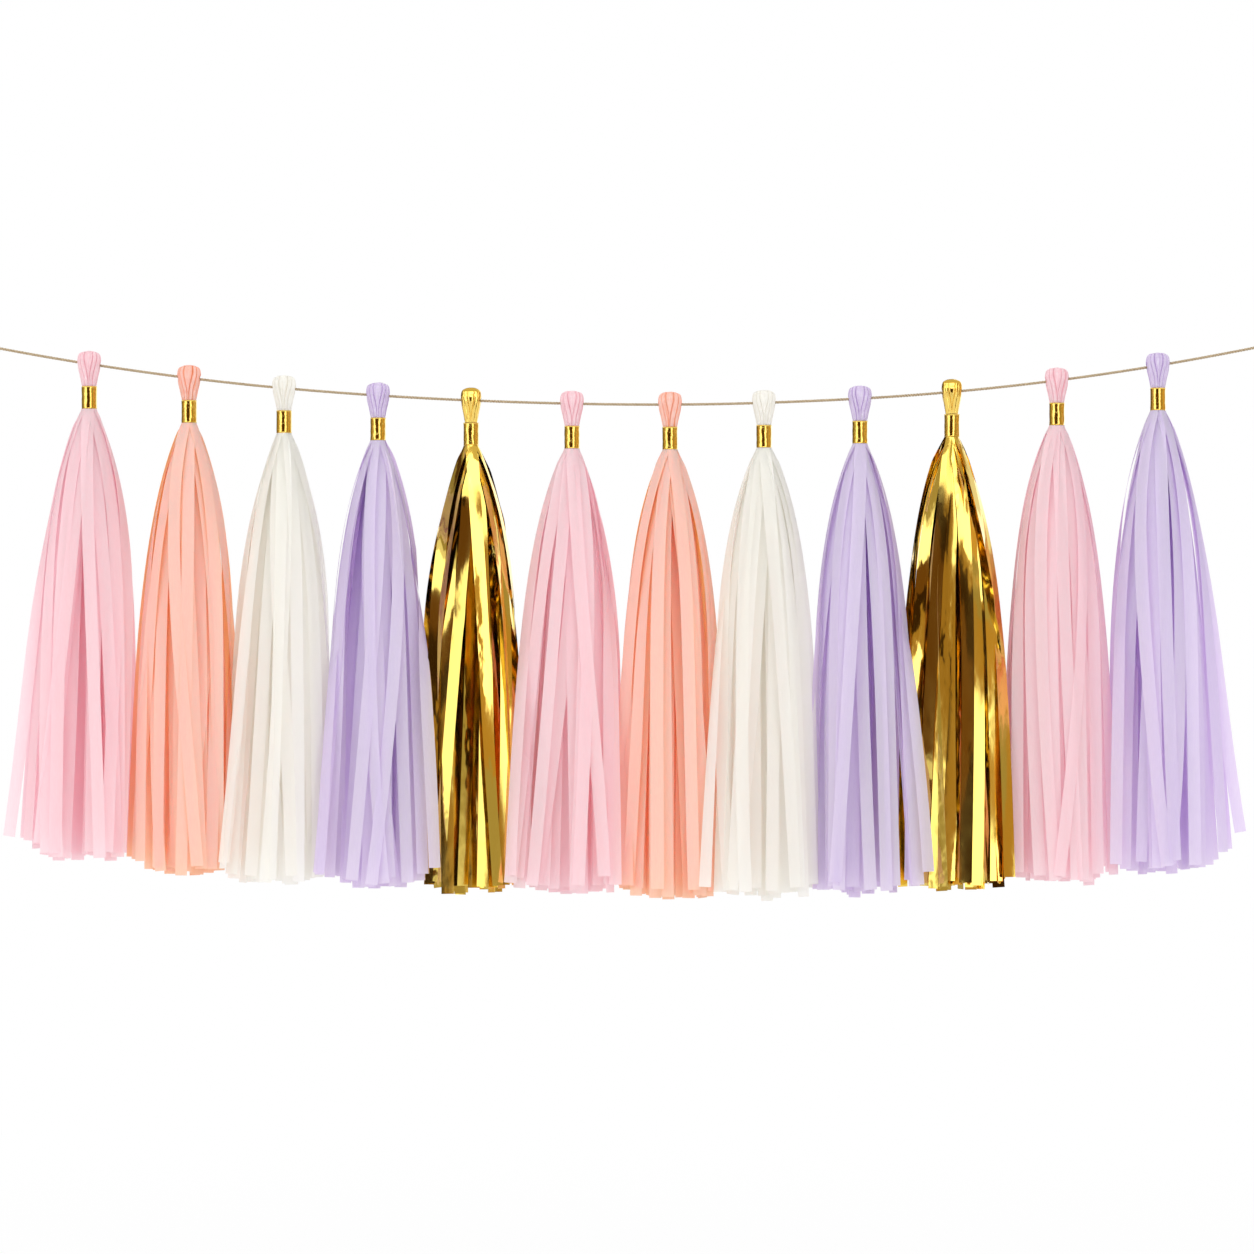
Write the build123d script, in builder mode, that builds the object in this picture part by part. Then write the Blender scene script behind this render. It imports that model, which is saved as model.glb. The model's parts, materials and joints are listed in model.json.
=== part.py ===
"""Garland of twelve paper and foil tassels hung side by side on one length of twine, in millimetres.

The origin is the centre of the bend of the left hanging loop. +X runs along the garland to the right
loop, +Z is up, and the front faces -Y. Each tassel hangs plumb from the twine through its own eye.
"""

import math
import os

from build123d import *

# Twine: its centre line in the X-Z plane, from the left knot to the right one
twine_diameter = 1.6
twine_route = [
    (23.56, -4.59),
    (53.9, -10.5),
    (112.9, -19.7),
    (170.5, -26.9),
    (226.3, -31.9),
    (281.5, -35.5),
    (338.8, -37.9),
    (397.6, -39.2),
    (454.2, -39.0),
    (510.4, -37.1),
    (565.9, -34.1),
    (624.9, -28.7),
    (684.6, -21.1),
    (744.2, -11.1),
    (778.6, -4.2),
]
# Hanging loop: its centre line from the knot's outer face, outwards along the twine and across it
loop_route = [
    (0, 1.2),
    (3.6, 1.2),
    (9.8, 4.8),
    (16.5, 6.6),
    (23.0, 3.5),
    (23.0, -3.5),
    (16.5, -6.6),
    (9.8, -4.8),
    (3.6, -1.2),
    (0, -1.2),
]
arc_run_share = 0.45

# Knots that close the hanging loops
knot_length = 6.0
knot_radius = 2.7
knot_turns = 3
knot_groove = 0.5
tail_length = 9.0
tail_angle = 24

# Places of the tassels
first_tassel = 83.4
tassel_pitch = 57.4
pitch_shares = (1.028, 0.977, 0.967, 0.958, 1.038, 1.009, 0.967, 0.988, 0.946, 1.080, 1.040)
colours = (
    "pink", "peach", "ivory", "lilac", "gold", "pink",
    "peach", "ivory", "lilac", "gold", "pink", "lilac",
)

# Head: the sheets folded over the twine and drawn together towards the band
head_rise = 7.6
head_drop = 13.2
head_width = 14.0
head_depth = 11.6
foil_head_share = 0.87
head_pleats = 11
pleat_share = 0.14
eye_clearance = 0.35
# Height, as a share of the rise above the twine or the drop below it, and share of the full width
head_section_shares = (
    (-1.0, 0.68),
    (-0.6, 0.77),
    (-0.2, 0.93),
    (0.2, 1.0),
    (0.62, 0.91),
    (0.88, 0.7),
    (1.0, 0.42),
)

# Band: a foil strip wound round the neck, with its free end lapped at the back
neck_radius = 4.15
band_height = 13.3
band_clearance = 0.05
foil_thickness = 0.3
lap_angle = 70

# Skirt: three rings of hanging strips
skirt_length = 265.5
skirt_half_width = 35.0
end_half_width = 42.0
strip_width = 7.0
strip_thickness = 0.5
strip_gap_share = 0.16
end_step = 12.0
tassel_clearance = 0.4
ring_counts = (18, 13, 9)
ring_shares = (1.0, 0.68, 0.36)
# Depth below the band as a share of the skirt's length, and reach as a share of its half width
skirt_section_shares = (
    (0.055, 0.285),
    (0.12, 0.45),
    (0.27, 0.69),
    (0.5, 0.87),
    (1.0, 1.0),
)
# How far a strip's end may stray, as a share of its place round the ring, and be drawn in
sway_share = 0.1
drawn_in_share = 0.05

overrun = 1.0
golden_angle = math.pi * (3 - math.sqrt(5))

os.makedirs("parts", exist_ok=True)


def corner_radii(route):
    """The arc radius at each corner: a share of the shorter run, over the tangent of half the turn."""
    points = [Vector(*point) for point in route]
    radii = []
    for before, corner, after in zip(points, points[1:], points[2:]):
        run_in = corner - before
        run_out = after - corner
        half_turn = math.radians(run_in.get_angle(run_out) / 2)
        radii.append(arc_run_share * min(run_in.length, run_out.length) / math.tan(half_turn))
    return radii


def twine_slope(x):
    """The twine's height and slope at a place along it, read from the run that spans it."""
    spans = list(zip(twine_route, twine_route[1:]))
    (x_a, z_a), (x_b, z_b) = next((s for s in spans if x <= s[1][0]), spans[-1])
    slope = (z_b - z_a) / (x_b - x_a)
    return z_a + slope * (x - x_a), slope


def finish(part, name):
    """Label a piece and write its file."""
    part.label = name
    export_step(part, f"parts/{name}.step")


def report_tube(name, part, line, radii):
    """Print a tube's length, its arcs and how its volume compares with its section times its length."""
    section = math.pi * (twine_diameter / 2) ** 2
    length = sum(edge.length for edge in line.edges())
    print(f"{name}: length {length:.1f}, tightest arc {min(radii):.1f},", end=" ")
    print(f"volume over section times length {part.volume / (section * length):.4f}")
    print("  arcs", [round(radius, 1) for radius in radii])


# Twine between the knots
span_radii = corner_radii(twine_route)
with BuildPart() as twine_span:
    with BuildLine(Plane.XZ) as span_line:
        FilletPolyline(*twine_route, radius=span_radii)
    with BuildSketch(Plane(origin=span_line.line @ 0, z_dir=span_line.line % 0)):
        Circle(twine_diameter / 2)
    sweep()
finish(twine_span.part, "twine_span")
report_tube("twine_span", twine_span.part, span_line.line, span_radii)


def end_plane(route):
    """The plane of a hanging loop: its X runs outwards from the first point of the route."""
    (x_a, z_a), (x_b, z_b) = route[:2]
    outward = Vector(x_a - x_b, 0, z_a - z_b).normalized()
    return Plane(origin=(x_a, 0, z_a), x_dir=outward, z_dir=(0, -1, 0))


def make_knot(name, knot_plane):
    """A knot of three turns round the twine, from the twine's end to the loop's legs, with its tail."""
    turn_length = knot_length / knot_turns
    groove_radius = knot_radius - knot_groove
    with BuildPart() as knot:
        with BuildSketch(knot_plane):
            with BuildLine():
                Line((0, 0), (0, groove_radius))
                for turn in range(knot_turns):
                    start = turn * turn_length
                    ThreePointArc(
                        (start, groove_radius),
                        (start + turn_length / 2, knot_radius),
                        (start + turn_length, groove_radius),
                    )
                Line((knot_length, groove_radius), (knot_length, 0))
                Line((knot_length, 0), (0, 0))
            make_face()
        revolve(axis=Axis(knot_plane.origin, knot_plane.x_dir))
        # The tail leaves the first turn backwards and leans away from the twine
        tail_start = knot_plane.from_local_coords((turn_length, twine_diameter / 2 - knot_radius))
        lean = math.radians(tail_angle)
        tail_way = knot_plane.x_dir * -math.cos(lean) - knot_plane.y_dir * math.sin(lean)
        with BuildSketch(Plane(origin=tail_start, z_dir=tail_way)):
            Circle(twine_diameter / 2)
        extrude(amount=tail_length)
    finish(knot.part, name)


def make_loop(name, loop_plane):
    """The hanging loop, from one side of the knot's outer face round to the other."""
    radii = corner_radii(loop_route)
    with BuildPart() as loop:
        with BuildLine(loop_plane) as loop_line:
            FilletPolyline(*loop_route, radius=radii)
        with BuildSketch(Plane(origin=loop_line.line @ 0, z_dir=loop_line.line % 0)):
            Circle(twine_diameter / 2)
        sweep()
    finish(loop.part, name)
    report_tube(name, loop.part, loop_line.line, radii)


for side, route in (("left", twine_route), ("right", twine_route[::-1])):
    knot_plane = end_plane(route)
    make_knot(f"twine_knot_{side}", knot_plane)
    loop_plane = Plane(
        origin=knot_plane.from_local_coords((knot_length, 0)),
        x_dir=knot_plane.x_dir,
        z_dir=knot_plane.z_dir,
    )
    make_loop(f"twine_loop_{side}", loop_plane)


def make_head(name, hinge, slope, width, phase):
    """The pleated fold over the twine, its eye and the upper half of the neck."""
    depth = head_depth * width / head_width
    with BuildPart() as head:
        for height_share, width_share in head_section_shares:
            height = height_share * (head_rise if height_share > 0 else head_drop)
            corners = []
            for corner in range(2 * head_pleats):
                angle = phase + math.pi * corner / head_pleats
                reach = width_share * (1 - pleat_share * (corner % 2)) / 2
                corners.append((width * reach * math.cos(angle), depth * reach * math.sin(angle)))
            with BuildSketch(hinge.offset(height)):
                Polygon(*corners, align=None)
        loft(ruled=True)
        with BuildSketch(hinge.offset(-head_drop)):
            Circle(neck_radius)
        extrude(amount=-band_height / 2)
        # The eye widens to both sides, so that the sloping twine clears it at every swing
        half_length = width / 2 + overrun
        middle_radius = twine_diameter / 2 + eye_clearance
        mouth_radius = middle_radius + half_length * abs(slope)
        with BuildSketch(Plane(origin=hinge.origin, x_dir=(1, 0, 0), z_dir=(0, -1, 0))):
            with BuildLine():
                Polyline(
                    (-half_length, 0),
                    (-half_length, mouth_radius),
                    (0, middle_radius),
                    (half_length, mouth_radius),
                    (half_length, 0),
                    close=True,
                )
            make_face()
        revolve(axis=Axis(hinge.origin, (1, 0, 0)), mode=Mode.SUBTRACT)
    finish(head.part, name)


def make_band(name, hinge):
    """The foil band round the neck, with the strip's free end lapped over it at the back."""
    bore_radius = neck_radius + band_clearance
    band_radius = bore_radius + foil_thickness
    half_lap = math.radians(lap_angle / 2)
    wedge = 2 * band_radius
    base = hinge.offset(-head_drop - band_height)
    with BuildPart() as band:
        with BuildSketch(base):
            Circle(band_radius)
            Circle(bore_radius, mode=Mode.SUBTRACT)
        extrude(amount=band_height)
        with BuildSketch(base):
            Circle(band_radius + foil_thickness)
            Circle(bore_radius + foil_thickness / 2, mode=Mode.SUBTRACT)
            Polygon(
                (0, 0),
                (wedge * math.sin(half_lap), wedge * math.cos(half_lap)),
                (-wedge * math.sin(half_lap), wedge * math.cos(half_lap)),
                align=None,
                mode=Mode.INTERSECT,
            )
        extrude(amount=band_height)
    finish(band.part, name)


def strip_solid(collar_base, ring, place, phase, left_reach, right_reach):
    """One strip of the skirt: flat sections down its length, all turned the same way.

    Its width grows from its share of the collar to the full strip. left_reach and right_reach are the
    limits of the skirt to either side, where the neighbours hang.
    """
    count = ring_counts[ring]
    seed = phase + golden_angle * place
    angle = 2 * math.pi * (place + ring / 2) / count + phase
    across = Vector(-math.sin(angle), math.cos(angle), 0)
    length = skirt_length - end_step * (0.5 + 0.5 * math.sin(7 * seed))
    side_reach = right_reach if math.cos(angle) > 0 else left_reach
    side_limit = math.sqrt(side_reach**2 - (strip_width / 2) ** 2) - strip_thickness
    flare = max(1, side_reach / skirt_half_width)
    collar_share = (neck_radius - strip_thickness) / skirt_half_width
    sections = []
    for depth_share, width_share in ((0, collar_share), *skirt_section_shares):
        reach = skirt_half_width * width_share
        sway = depth_share * sway_share * 2 * math.pi / count * math.sin(5 * seed)
        spread = 1 - drawn_in_share * depth_share * (1 + math.sin(3 * seed))
        x_reach = min(reach * (1 + (flare - 1) * depth_share), side_limit)
        x = ring_shares[ring] * spread * x_reach * math.cos(angle + sway)
        y = ring_shares[ring] * spread * reach * math.sin(angle + sway)
        inner_radius = ring_shares[ring] * spread * min(x_reach, reach) - strip_thickness / 2
        room = 2 * inner_radius * math.tan(math.pi / count) * (1 - strip_gap_share)
        section_plane = Plane(
            origin=collar_base.from_local_coords((x, y, -length * depth_share)),
            x_dir=across,
            z_dir=(0, 0, 1),
        )
        sections.append(section_plane * Rectangle(min(strip_width, room), strip_thickness))
    return loft(sections, ruled=True)


def make_skirt(name, hinge, phase, left_reach, right_reach):
    """The hanging strips and the lower half of the neck that carries them, joined in one fuse."""
    collar_base = hinge.offset(-head_drop - band_height)
    strips = [
        strip_solid(collar_base, ring, place, phase, left_reach, right_reach)
        for ring, count in enumerate(ring_counts)
        for place in range(count)
    ]
    with BuildPart() as skirt:
        with BuildSketch(collar_base):
            Circle(neck_radius)
        extrude(amount=band_height / 2)
        add(strips)
    finish(skirt.part, name)


places = [first_tassel]
for share in pitch_shares:
    places.append(places[-1] + share * tassel_pitch)

for index, (place, colour) in enumerate(zip(places, colours)):
    number = f"{index + 1:02d}"
    height, slope = twine_slope(place)
    hinge = Plane(origin=(place, 0, height))
    phase = golden_angle * index
    first = index == 0
    last = index == len(places) - 1
    left_reach = end_half_width if first else (place - places[index - 1] - tassel_clearance) / 2
    right_reach = end_half_width if last else (places[index + 1] - place - tassel_clearance) / 2
    width = head_width * (foil_head_share if colour == "gold" else 1)
    make_head(f"tassel_{number}_head", hinge, slope, width, phase)
    make_band(f"tassel_{number}_band", hinge)
    make_skirt(f"tassel_{number}_skirt", hinge, phase, left_reach, right_reach)
    print(f"tassel {number} {colour}: hinge {place:.2f}, {height:.2f}, slope {slope:.3f}")
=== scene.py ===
"""Looks of the tassel garland: paper and foil strips, folded heads, wound bands and twisted twine.

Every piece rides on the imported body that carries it. +X runs along the garland and the front faces -Y.
Lengths are in metres, apart from the shapes of a tassel, which are worked out in millimetres from its
hinge and turned into metres when their mesh is made.
"""

import json
import math
from collections import namedtuple

import bmesh
import bpy
import numpy as np
from mathutils import Matrix, Vector


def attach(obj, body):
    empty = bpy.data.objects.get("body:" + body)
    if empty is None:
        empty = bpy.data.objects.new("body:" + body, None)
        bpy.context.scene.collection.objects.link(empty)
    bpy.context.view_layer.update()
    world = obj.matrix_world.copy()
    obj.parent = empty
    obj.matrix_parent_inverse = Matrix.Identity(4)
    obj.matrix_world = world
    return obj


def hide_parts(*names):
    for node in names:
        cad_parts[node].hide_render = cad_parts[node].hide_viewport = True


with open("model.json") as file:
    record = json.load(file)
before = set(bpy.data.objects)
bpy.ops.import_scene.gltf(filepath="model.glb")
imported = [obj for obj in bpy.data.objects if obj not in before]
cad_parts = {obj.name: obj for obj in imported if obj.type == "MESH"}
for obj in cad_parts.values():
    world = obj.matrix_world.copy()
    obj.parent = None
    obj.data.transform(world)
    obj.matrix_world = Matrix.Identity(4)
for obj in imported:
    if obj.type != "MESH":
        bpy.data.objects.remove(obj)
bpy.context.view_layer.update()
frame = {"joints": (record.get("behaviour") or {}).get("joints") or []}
scene = bpy.context.scene
scene.view_settings.view_transform = "Standard"

MM = 0.001
hinges = [np.array(joint["pos_m"], float) for joint in sorted(frame["joints"], key=lambda j: j["name"])]

# Twine routes, repeated from the CAD source
twine_diameter = 0.0016
twine_route = [
    (0.02356, -0.00459),
    (0.0539, -0.0105),
    (0.1129, -0.0197),
    (0.1705, -0.0269),
    (0.2263, -0.0319),
    (0.2815, -0.0355),
    (0.3388, -0.0379),
    (0.3976, -0.0392),
    (0.4542, -0.0390),
    (0.5104, -0.0371),
    (0.5659, -0.0341),
    (0.6249, -0.0287),
    (0.6846, -0.0211),
    (0.7442, -0.0111),
    (0.7786, -0.0042),
]
loop_route = [
    (0, 0.0012),
    (0.0036, 0.0012),
    (0.0098, 0.0048),
    (0.0165, 0.0066),
    (0.0230, 0.0035),
    (0.0230, -0.0035),
    (0.0165, -0.0066),
    (0.0098, -0.0048),
    (0.0036, -0.0012),
    (0, -0.0012),
]
knot_length = 0.006
knot_reach = 0.0019
knot_turns = 3
points_per_turn = 12
core_overlap = 0.0004
tail_length = 0.0074
tail_angle = 24
# Places of the tail's points along it, from its cut end to the knot's first turn
tail_shares = (1.0, 0.6, 0.3)
# Points of the smooth lines between two points of their route
span_steps = 60
knot_steps = 12
loop_steps = 24

# Twisted twine
ply_count = 3
ply_reach_share = 0.27
ply_radius_share = 0.25
lay_length = 0.0052
ply_sides = 8
twine_step = 0.0005
swell_share = 0.05
swell_length = 0.0037
rough_share = 0.012
span_seed = 1
knot_seed = 2
core_seed = 3
loop_seed = 4

# Tassel, in millimetres from its hinge
head_rise = 7.6
head_drop = 13.2
head_width = 14.0
head_depth = 11.6
foil_head_share = 0.87
band_height = 13.3
band_radius = 4.22
band_thickness = 0.13
band_turns = 1.2
eye_radius = 1.15
neck_radius = 4.0
strip_width = 7.3
strip_length = 268.0
skirt_depth = 265.0
full_reach = 36.0
skirt_flatness = 0.86
# Of each tassel: its colour, how much longer than usual its strips were cut, and how far its lowest strips
# reach to the left and to the right, with whether they lie over the neighbour's there
tassels = (
    ("pink", -0.5, (42, True), (26, True)),
    ("peach", 0, (38, False), (27, False)),
    ("ivory", -0.5, (47, True), (28, False)),
    ("lilac", -3, (41, True), (41, True)),
    ("gold", -3, (32, False), (33, False)),
    ("pink", -4.5, (46, True), (33, True)),
    ("peach", -1, (34, False), (31, False)),
    ("ivory", -1, (42, True), (34, False)),
    ("lilac", -1, (30, True), (45, True)),
    ("gold", 1.5, (31, False), (40, True)),
    ("pink", 3.5, (34, False), (38, False)),
    ("lilac", 5.5, (32, True), (46, True)),
)
colours, cut_longer, left_sides, right_sides = zip(*tassels)

# Camera: straight on, level, and far enough back for a long lens
camera_place = (0.4011, -3.0, -0.1705)
camera_lens = 145.8
sensor_width = 36.0
camera_data = bpy.data.cameras.new("camera")
camera_data.lens = camera_lens
camera_data.sensor_width = sensor_width
camera = bpy.data.objects.new("camera", camera_data)
camera.location = camera_place
camera.rotation_euler = (math.radians(90), 0, 0)
scene.collection.objects.link(camera)
scene.camera = camera

# Materials. A grain is a noise's stretch along each axis, its scale and its detail
noise_span = (0.3, 0.7)
fibre_grain = ((1, 1, 0.12), 1400, 4)
fibre_shades = (0.65, 1.0)
blotch_grain = ((1, 1, 0.5), 260, 3)
blotch_shades = (0.85, 1.0)
crumple_grain = ((1, 1, 0.35), 420, 5)
crumple_depth = 0.0003
crumple_strength = 0.35
paper_specular = 0.25
paper_roughness = (0.62, 0.82)
see_through_share = 0.57
crease_detail = 1.5
crinkle_grain = ((1, 1, 0.45), 160, 1.5)
handled_grain = ((1, 1, 0.5), 30, 1)
# How far the creases of one tone lie from those of another, so that no two strips crease alike
strip_shift = (37, 53, 71)
black = (0, 0, 0)
streak_grain = ((0.5, 1, 1), 2600, 5)
streak_depth = 0.00015
jute_specular = 0.2
jute_roughness = (0.75, 0.92)
# Place in the streaks and colour, of the dark and of the light fibres
jute_stops = ((0.32, (0.27, 0.19, 0.105, 1)), (0.66, (0.62, 0.50, 0.34, 1)))


def new_material(name):
    """An empty node material, and its node tree."""
    material = bpy.data.materials.new(name)
    material.use_nodes = True
    material.node_tree.nodes.clear()
    return material, material.node_tree


def add_node(tree, kind, inputs=None, **settings):
    """A node with its settings, and with each input set to a value or linked to a socket."""
    node = tree.nodes.new(f"ShaderNode{kind}")
    for name, value in settings.items():
        setattr(node, name, value)
    for key, value in (inputs or {}).items():
        if isinstance(value, bpy.types.NodeSocket):
            tree.links.new(value, node.inputs[key])
        else:
            node.inputs[key].default_value = value
    return node


def show(tree, shader):
    """Shows a shader on the material's surface."""
    add_node(tree, "OutputMaterial", {"Surface": shader.outputs[0]})


def mixed(tree, share, first, second):
    """A mix of two shaders."""
    return add_node(tree, "MixShader", {"Fac": share, 1: first.outputs[0], 2: second.outputs[0]})


def noise(tree, stretch, scale, detail, shift=black):
    """A noise texture in the piece's own coordinates, stretched by a share along each axis."""
    place = add_node(tree, "TexCoord").outputs["Object"]
    mapping = add_node(tree, "Mapping", {"Vector": place, "Location": shift, "Scale": stretch})
    inputs = {"Vector": mapping.outputs["Vector"], "Scale": scale, "Detail": detail}
    return add_node(tree, "TexNoise", inputs).outputs["Fac"]


def spread(tree, value, low, high, span=noise_span, kind="LINEAR"):
    """A value brought from one span to another, and kept inside it."""
    inputs = {"Value": value, "From Min": span[0], "From Max": span[1], "To Min": low, "To Max": high}
    return add_node(tree, "MapRange", inputs, interpolation_type=kind).outputs["Result"]


def between(tree, low, high, share):
    """The vector or colour at a share of the way from one to another."""
    inputs = {0: share, 1: [far - near for near, far in zip(low, high)], 2: low}
    return add_node(tree, "VectorMath", inputs, operation="MULTIPLY_ADD").outputs["Vector"]


def joined(tree, operation, first, second, clamp=False):
    """Two values added or multiplied."""
    inputs = {0: first, 1: second}
    return add_node(tree, "Math", inputs, operation=operation, use_clamp=clamp).outputs["Value"]


def bumped(tree, height, distance, **others):
    """The normal of a bump."""
    inputs = {"Height": height, "Distance": distance, **others}
    return add_node(tree, "Bump", inputs).outputs["Normal"]


def tone_and_painted_shade(tree):
    """The tone of each point of a piece: a random tone of its own on the strips, and painted shade and light
    along the folds of a paper head.
    """
    return add_node(tree, "Attribute", attribute_name="tone").outputs["Fac"]


def deeper(colour, power, light=1.0):
    """A colour with a stronger tint and a share of its light."""
    return [light * part**power for part in colour]


def tissue(name, colour, glow, low_colour, low_glow):
    """Tissue paper: soft, fibrous and a little see-through, in a tone that each point has of its own, which
    on a head holds painted shade and light along its folds.

    It takes its colour in the light on it and in the light through it, and both again at a low tone.
    """
    material, tree = new_material(name)
    fibres = spread(tree, noise(tree, *fibre_grain), *fibre_shades)
    blotches = spread(tree, noise(tree, *blotch_grain), *blotch_shades)
    shade = joined(tree, "MULTIPLY", joined(tree, "MULTIPLY", fibres, blotches), tone_and_painted_shade(tree))
    crumple = noise(tree, *crumple_grain)
    normal = bumped(tree, crumple, crumple_depth, Strength=crumple_strength)
    paper = add_node(tree, "BsdfPrincipled", {
        "Base Color": between(tree, low_colour, colour, shade),
        "Roughness": spread(tree, crumple, *paper_roughness),
        "Specular IOR Level": paper_specular,
        "Normal": normal,
    })
    light = between(tree, low_glow, glow, shade)
    through = add_node(tree, "BsdfTranslucent", {"Color": light, "Normal": normal})
    show(tree, mixed(tree, see_through_share, paper, through))
    return material


def foil(name, colour, roughness, crease_scale, crease_depth, along, crinkle_depth=0):
    """Metallised film: a mirror with creases, and crinkled in places where it has been handled.

    The creases are long where their share along the strip is under one, and short above it.
    """
    material, tree = new_material(name)
    tone = tone_and_painted_shade(tree)
    apart = between(tree, black, strip_shift, tone)
    creases = noise(tree, (1, 1, along), crease_scale, crease_detail, apart)
    normal = bumped(tree, creases, crease_depth)
    if crinkle_depth:
        handled = spread(tree, noise(tree, *handled_grain, apart), 0, 1)
        crinkles = joined(tree, "MULTIPLY", noise(tree, *crinkle_grain, apart), handled)
        normal = bumped(tree, crinkles, crinkle_depth, Normal=normal)
    show(tree, add_node(tree, "BsdfPrincipled", {
        "Base Color": between(tree, black, colour, tone),
        "Metallic": 1.0,
        "Roughness": spread(tree, creases, *roughness),
        "Normal": normal,
    }))
    return material


def jute(name):
    """Twisted bast fibre: matt, streaked light and dark along the plies."""
    material, tree = new_material(name)
    streaks = noise(tree, *streak_grain)
    ramp = add_node(tree, "ValToRGB", {"Fac": streaks})
    for stop, (place, colour) in zip(ramp.color_ramp.elements, jute_stops):
        stop.position = place
        stop.color = colour
    show(tree, add_node(tree, "BsdfPrincipled", {
        "Base Color": ramp.outputs["Color"],
        "Roughness": spread(tree, streaks, *jute_roughness),
        "Specular IOR Level": jute_specular,
        "Normal": bumped(tree, streaks, streak_depth),
    }))
    return material


# Colour of each paper in the light that falls on it, and in the light that comes through it
papers = {
    "pink": ((0.975, 0.99, 1.0), (0.99, 0.63, 0.70)),
    "peach": ((1.0, 1.0, 0.93), (1.0, 0.44, 0.12)),
    "ivory": ((0.95, 0.965, 0.955), (0.985, 0.96, 0.905)),
    "lilac": ((0.985, 0.97, 1.0), (0.73, 0.56, 0.86)),
}
# How much deeper a low tone is: of the strips' grain and random tone, and of the painted shade in a head's
# folds, which is also darker
low_power = 1.6
fold_shade_power = 2.6
fold_shade_light = 0.9
finishes, folded = {}, {}
for name, (paper, glow) in papers.items():
    finishes[name] = tissue(f"{name}_tissue", paper, glow, deeper(paper, low_power), deeper(glow, low_power))
    # A head's low colours are painted shade for the valleys of its folds: darker, and with a deeper tint
    painted_shade_paper = [fold_shade_light * part * through for part, through in zip(paper, glow)]
    painted_shade_glow = deeper(glow, fold_shade_power, fold_shade_light)
    folded[name] = tissue(f"folded_{name}_tissue", paper, glow, painted_shade_paper, painted_shade_glow)
finishes["gold"] = foil(
    "gold_foil",
    colour=(0.95, 0.70, 0.165),
    roughness=(0.06, 0.18),
    crease_scale=90,
    crease_depth=0.0001,
    along=0.12,
    crinkle_depth=0.0005,
)
folded["gold"] = foil(
    "folded_gold_foil",
    colour=(0.92, 0.66, 0.16),
    roughness=(0.07, 0.2),
    crease_scale=200,
    crease_depth=0.00008,
    along=0.14,
)
band_finish = foil(
    "gold_band_foil",
    colour=(0.86, 0.61, 0.14),
    roughness=(0.06, 0.14),
    crease_scale=560,
    crease_depth=0.00013,
    along=1.4,
)
jute_finish = jute("jute_twine")
slots = {name: f"{name}_tissue" for name in papers} | {"gold": "gold_foil"}


# Meshes
def make_piece(name, points, faces, finish, tones=None):
    """A smooth mesh piece with the points in metres, and each point's tone if it has one."""
    mesh = bpy.data.meshes.new(name)
    mesh.from_pydata([tuple(point) for point in points], [], faces)
    if tones is not None:
        mesh.attributes.new("tone", "FLOAT", "POINT").data.foreach_set("value", tones)
    mesh.shade_smooth()
    mesh.materials.append(finish)
    piece = bpy.data.objects.new(name, mesh)
    scene.collection.objects.link(piece)
    return piece


def grid_faces(rows, columns, start=0, wrap=False):
    """Faces of a grid of points, closed round its columns where wrap is set."""
    faces = []
    for row in range(rows - 1):
        for column in range(columns if wrap else columns - 1):
            beside = (column + 1) % columns
            first = start + row * columns
            second = first + columns
            faces.append((first + column, first + beside, second + beside, second + column))
    return faces


def face_outwards(mesh, merge_distance=0):
    """Points every face of a closed mesh outwards, once the points that coincide are one."""
    shell = bmesh.new()
    shell.from_mesh(mesh)
    if merge_distance:
        bmesh.ops.remove_doubles(shell, verts=shell.verts, dist=merge_distance)
    bmesh.ops.recalc_face_normals(shell, faces=shell.faces)
    shell.to_mesh(mesh)
    shell.free()


def random_phase(random):
    """Where a random wave starts, in radians."""
    return random.uniform(0, 6)


# Cords, in metres
def spline_line(route, steps):
    """Points of the smooth line that a route controls, as the curve's own mesh gives them."""
    curve = bpy.data.curves.new("route", "CURVE")
    curve.dimensions = "3D"
    curve.resolution_u = steps
    spline = curve.splines.new("NURBS")
    spline.points.add(len(route) - 1)
    for point, place in zip(spline.points, route):
        point.co = (*place, 1)
    spline.order_u = 3
    spline.use_endpoint_u = True
    holder = bpy.data.objects.new("route", curve)
    scene.collection.objects.link(holder)
    bpy.context.view_layer.update()
    mesh = bpy.data.meshes.new_from_object(holder)
    line = np.array([vertex.co for vertex in mesh.vertices], float)
    bpy.data.objects.remove(holder)
    bpy.data.curves.remove(curve)
    bpy.data.meshes.remove(mesh)
    return line


def travel_along(line):
    """How far along the line each of its points is."""
    return np.concatenate([[0], np.cumsum(np.linalg.norm(np.diff(line, axis=0), axis=1))])


def points_at(places, travel, line):
    """The points of a line at some distances along it."""
    return np.stack([np.interp(places, travel, line[:, axis]) for axis in range(3)], axis=1)


def line_frames(line):
    """Two directions across the line at each of its points, carried along it without turning."""
    along = np.gradient(line, axis=0)
    along /= np.linalg.norm(along, axis=1)[:, None]
    first = np.cross(along[0], (0.0, 1.0, 0.0))
    across = [first / np.linalg.norm(first)]
    for way in along[1:]:
        carried = across[-1] - way * (across[-1] @ way)
        across.append(carried / np.linalg.norm(carried))
    across = np.array(across)
    return across, np.cross(along, across)


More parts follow.
